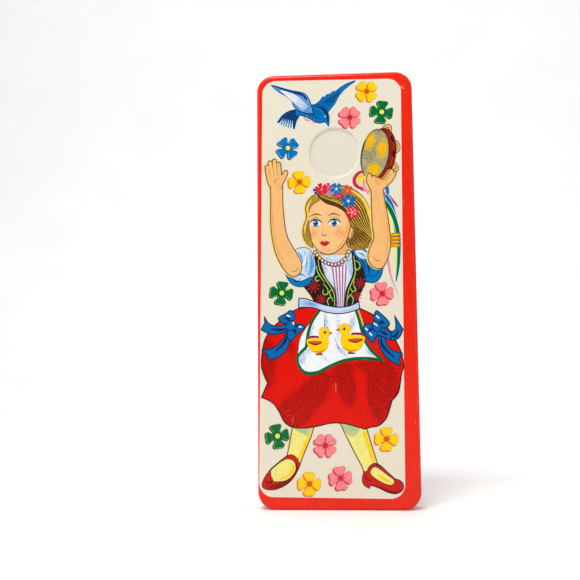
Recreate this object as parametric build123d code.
"""Toy tin whistle: a flat printed tin box with a pea whistle built into its upper end.

Frame, in millimetres: the box stands on its lower end wall. X runs across the printed face, Y goes from
the printed face (low Y) to the back (high Y), Z runs up the box. The origin is the middle of the lower end.
"""

import os
from math import acos, degrees, sqrt

from build123d import *

# Driving dimensions of the box
LENGTH = 127.0
WIDTH = 46.0
DEPTH = 9.0
SHEET = 0.3
CORNER_RADIUS = 5.0
BEND_RADIUS = 1.2

# Round recess pressed into both faces, one behind the other
RECESS_HEIGHT = 102.7
RECESS_RADIUS = 7.7
RECESS_SLOPE = 0.75
RECESS_DEPTH = 0.6
RECESS_SOFTENING = 0.25

# Back shell: an inner tray whose raised panel is what the whistle lies on
NESTING_GAP = 0.05
PANEL_RAISE = 0.6
PANEL_BORDER = 4.0
PANEL_CORNER = 3.5
PANEL_TAPER = 40.0

# Tabs of the front shell, folded over the back shell
TAB_WIDTH = 6.0
TAB_REACH = 2.4
SIDE_TAB_HEIGHTS = (22.0, 63.5, 88.0)
END_TAB_OFFSET = -9.0

# Stiffening beads pressed into the back panel
BEAD_LENGTH = 62.0
BEAD_WIDTH = 4.0
BEAD_DEPTH = 0.5
BEAD_OFFSET = 9.0
BEAD_HEIGHT = 49.0

# Whistle inside the box: a strip bent into a windway floor and a barrel, and a second strip as its roof
BARREL_RADIUS = 8.2
STRIP = 0.4
FLOOR_OFFSET = 7.0
ROOF_OFFSET = 9.0
FOLD_RADIUS = 0.6
LIP_ANGLE = 8.0
STRIP_GAP = 0.05
ROOF_FOOT = 4.0
PEA_RADIUS = 3.1
PEA_CLEARANCE = 0.15

# Sound hole in the back shell, beside the window of the barrel
SOUND_HOLE_WIDTH = 8.0
SOUND_HOLE_HEIGHT = 9.0
SOUND_HOLE_OFFSET = 14.0
SOUND_HOLE_CORNER = 1.5

# Mouth slot in the upper end walls
SLOT_ACROSS = 1.6
SLOT_DEEP = 6.0

# Levels across the depth
FACE = -DEPTH / 2
FACE_INSIDE = FACE + SHEET
PANEL = DEPTH / 2
PANEL_INSIDE = PANEL - SHEET
BORDER = PANEL - PANEL_RAISE
BORDER_INSIDE = BORDER - SHEET
RIM = BORDER - 0.25
FOLD = BORDER + NESTING_GAP + SHEET

# Outline of the back shell, which sits inside the walls of the front shell
NESTED_INSET = SHEET + NESTING_GAP
NESTED_BEND = 0.8
MIDDLE = LENGTH / 2
TOLERANCE = 0.001
END_INSIDE = LENGTH - NESTED_INSET - SHEET - STRIP_GAP
MOUTH_OFFSET = (FLOOR_OFFSET + ROOF_OFFSET) / 2


def upright(shape, x, z):
    """A flat shape stood up in the plane Y = 0, with its middle at x and z."""
    return Pos(x, 0, z) * (Plane.XZ * shape)


def outline(inset):
    """Rounded rectangle of the box seen from the front, made smaller by inset on every side."""
    size_x, size_z = WIDTH - 2 * inset, LENGTH - 2 * inset
    return upright(RectangleRounded(size_x, size_z, CORNER_RADIUS - inset), 0, MIDDLE)


def raised(sketch, low, high, taper=0.0):
    """A sketch drawn at Y = 0 made solid from low to high, narrowing towards high by taper degrees."""
    return extrude(Pos(0, low, 0) * sketch, amount=high - low, dir=(0, 1, 0), taper=taper)


def sunk(sketch, high, low, taper=0.0):
    """A sketch drawn at Y = 0 made solid from high down to low, narrowing towards low by taper degrees."""
    return extrude(Pos(0, high, 0) * sketch, amount=high - low, dir=(0, -1, 0), taper=taper)


def edges_at(solid, level):
    """Edges whose middle lies at one Y level."""
    return solid.edges().filter_by_position(Axis.Y, level - TOLERANCE, level + TOLERANCE)


def rounded_block(inset, low, high, bend, at_low):
    """Solid of the box's outline with one rounded end face, at low Y or at high Y."""
    block = raised(outline(inset), low, high)
    return fillet(edges_at(block, low if at_low else high), bend)


def cone_between(wide_level, narrow_level, wide_radius):
    """Cone frustum on the recess's axis, RECESS_SLOPE narrower at narrow_level than at wide_level."""
    height = abs(narrow_level - wide_level)
    direction = (0, 1 if narrow_level > wide_level else -1, 0)
    base = Plane(origin=(0, wide_level, RECESS_HEIGHT), z_dir=direction)
    start = (Align.CENTER, Align.CENTER, Align.MIN)
    return base * Cone(wide_radius, wide_radius - RECESS_SLOPE, height, align=start)


def pressed_recess(shell, outer_level, inner_level):
    """Presses the round recess inwards from outer_level, keeping the sheet's thickness."""
    inward = 1 if inner_level > outer_level else -1
    boss = cone_between(inner_level, inner_level + inward * RECESS_DEPTH, RECESS_RADIUS + 0.9 * SHEET)
    hollow = cone_between(outer_level, outer_level + inward * RECESS_DEPTH, RECESS_RADIUS)
    return shell + boss - hollow


def softened(shell, level, softening):
    """Rounds the circular edges of the recess that lie at one level."""
    edges = edges_at(shell, level).filter_by(GeomType.CIRCLE)
    around = edges.filter_by(lambda e: abs(e.arc_center.Z - RECESS_HEIGHT) < SHEET and e.radius > SHEET)
    return fillet(around, softening)


def folded_tab(size_x, size_z, centre_x, centre_z, wall):
    """Tab folded over the back shell: a leaf lying on the border and the neck that joins it to a wall."""
    leaf = Pos(centre_x, FOLD - SHEET / 2, centre_z) * Box(size_x, SHEET, size_z)
    return leaf + Pos(centre_x, (RIM + FOLD) / 2, centre_z) * wall


def folded_tabs():
    """Tabs on the two long walls and on the two end walls."""
    reach = TAB_REACH + SHEET
    rise = FOLD - RIM
    tabs = []
    for side in (-1, 1):
        for height in SIDE_TAB_HEIGHTS:
            neck = Pos(side * TAB_REACH / 2, 0, 0) * Box(SHEET, rise, TAB_WIDTH)
            tabs.append(folded_tab(reach, TAB_WIDTH, side * (WIDTH - reach) / 2, height, neck))
    for side in (-1, 1):
        neck = Pos(0, 0, side * TAB_REACH / 2) * Box(TAB_WIDTH, rise, SHEET)
        tabs.append(folded_tab(TAB_WIDTH, reach, END_TAB_OFFSET, MIDDLE + side * (LENGTH - reach) / 2, neck))
    return tabs


def mouth_slot():
    """Block that cuts the mouth slot through the upper end walls."""
    return Pos(MOUTH_OFFSET, 0, LENGTH) * Box(SLOT_ACROSS, SLOT_DEEP, 4.0)


def front_shell():
    """Drawn tray that carries the picture, with the recess, the mouth slot and the folded tabs."""
    outside = rounded_block(0, FACE, RIM, BEND_RADIUS, at_low=True)
    inside = rounded_block(SHEET, FACE_INSIDE, RIM + 1, BEND_RADIUS - SHEET, at_low=True)
    shell = pressed_recess(outside - inside, FACE, FACE_INSIDE)
    shell = softened(shell, FACE, RECESS_SOFTENING)
    shell = softened(shell, FACE + RECESS_DEPTH, RECESS_SOFTENING)
    for tab in folded_tabs():
        shell += tab
    return shell - mouth_slot()


def bead(side, level, depth, grow):
    """One long stiffening bead as a solid reaching inwards from level."""
    shape = SlotOverall(BEAD_LENGTH + 2 * grow, BEAD_WIDTH + 2 * grow, rotation=90)
    return sunk(upright(shape, side * BEAD_OFFSET, BEAD_HEIGHT), level, level - depth, taper=PANEL_TAPER / 2)


def panel(grow):
    """Outline of the raised panel of the back shell, made larger by grow on every side."""
    size_x = WIDTH - 2 * PANEL_BORDER + 2 * grow
    size_z = LENGTH - 2 * PANEL_BORDER + 2 * grow
    return upright(RectangleRounded(size_x, size_z, PANEL_CORNER + grow), 0, MIDDLE)


def back_shell():
    """Inner tray that closes the box: raised panel, recess, beads, sound hole and mouth slot."""
    walls_end = FACE + BEND_RADIUS + NESTING_GAP
    outside = rounded_block(NESTED_INSET, walls_end, BORDER, NESTED_BEND, at_low=False)
    inset = NESTED_INSET + SHEET
    inside = rounded_block(inset, walls_end - 1, BORDER_INSIDE, NESTED_BEND - SHEET, at_low=False)
    shell = outside - inside
    shell += raised(panel(0), BORDER, PANEL, taper=PANEL_TAPER)
    shell -= raised(panel(-0.7 * SHEET), BORDER_INSIDE, PANEL_INSIDE, taper=PANEL_TAPER)
    shell = pressed_recess(shell, PANEL, PANEL_INSIDE)
    shell = softened(shell, PANEL, RECESS_SOFTENING)
    for side in (-1, 1):
        shell += bead(side, PANEL_INSIDE, BEAD_DEPTH, 0.7 * SHEET)
        shell -= bead(side, PANEL, BEAD_DEPTH, 0)
    hole = RectangleRounded(SOUND_HOLE_WIDTH, SOUND_HOLE_HEIGHT, SOUND_HOLE_CORNER)
    shell -= raised(upright(hole, SOUND_HOLE_OFFSET, RECESS_HEIGHT), BORDER_INSIDE - 1, PANEL + 1)
    return shell - mouth_slot()


def strip_solid(path):
    """A strip of sheet on edge along a path, clamped between the faces and trimmed to clear the bends."""
    section = upright(trace(path, STRIP), 0, 0)
    strip = raised(section, FACE_INSIDE + STRIP_GAP, PANEL_INSIDE - STRIP_GAP)
    at_border = (BORDER_INSIDE - NESTED_BEND, PANEL, LENGTH - PANEL_BORDER - PANEL_RAISE)
    at_front_bend = (FACE, FACE + BEND_RADIUS + STRIP_GAP, END_INSIDE - BEND_RADIUS)
    for low, high, bottom in (at_border, at_front_bend):
        trim = Box(WIDTH, high - low, LENGTH - bottom)
        strip -= Pos(0, (low + high) / 2, (LENGTH + bottom) / 2) * trim
    return strip


def barrel_strip():
    """Windway floor that folds back into the round barrel and ends in the lip that the air strikes."""
    fold_x = FLOOR_OFFSET - FOLD_RADIUS
    reach = BARREL_RADIUS + FOLD_RADIUS
    fold_z = RECESS_HEIGHT + sqrt(reach**2 - fold_x**2)
    join_angle = degrees(acos(fold_x / reach))
    barrel_turn = 360 - join_angle + LIP_ANGLE
    with BuildLine() as path:
        Line((FLOOR_OFFSET, END_INSIDE), (FLOOR_OFFSET, fold_z))
        CenterArc((fold_x, fold_z), FOLD_RADIUS, 0, join_angle - 180)
        CenterArc((0, RECESS_HEIGHT), BARREL_RADIUS, join_angle, barrel_turn)
    return strip_solid(path.line)


def windway_roof():
    """Outer wall of the windway, with a foot along the end wall. It stops where the window begins."""
    foot_level = END_INSIDE - STRIP / 2
    window_top = RECESS_HEIGHT + 0.8 * BARREL_RADIUS
    corners = [(ROOF_OFFSET + ROOF_FOOT, foot_level), (ROOF_OFFSET, foot_level), (ROOF_OFFSET, window_top)]
    with BuildLine() as path:
        FilletPolyline(*corners, radius=FOLD_RADIUS)
    return strip_solid(path.line)


def pea():
    """Cork ball, resting at the lowest point of its run round the barrel."""
    run = BARREL_RADIUS - STRIP / 2 - PEA_RADIUS - PEA_CLEARANCE
    return Pos(0, 0, RECESS_HEIGHT - run) * Sphere(PEA_RADIUS)


PARTS = {
    "front_shell": front_shell,
    "back_shell": back_shell,
    "barrel_strip": barrel_strip,
    "windway_roof": windway_roof,
    "pea": pea,
}

os.makedirs("parts", exist_ok=True)
for name, make in PARTS.items():
    export_step(make(), f"parts/{name}.step")
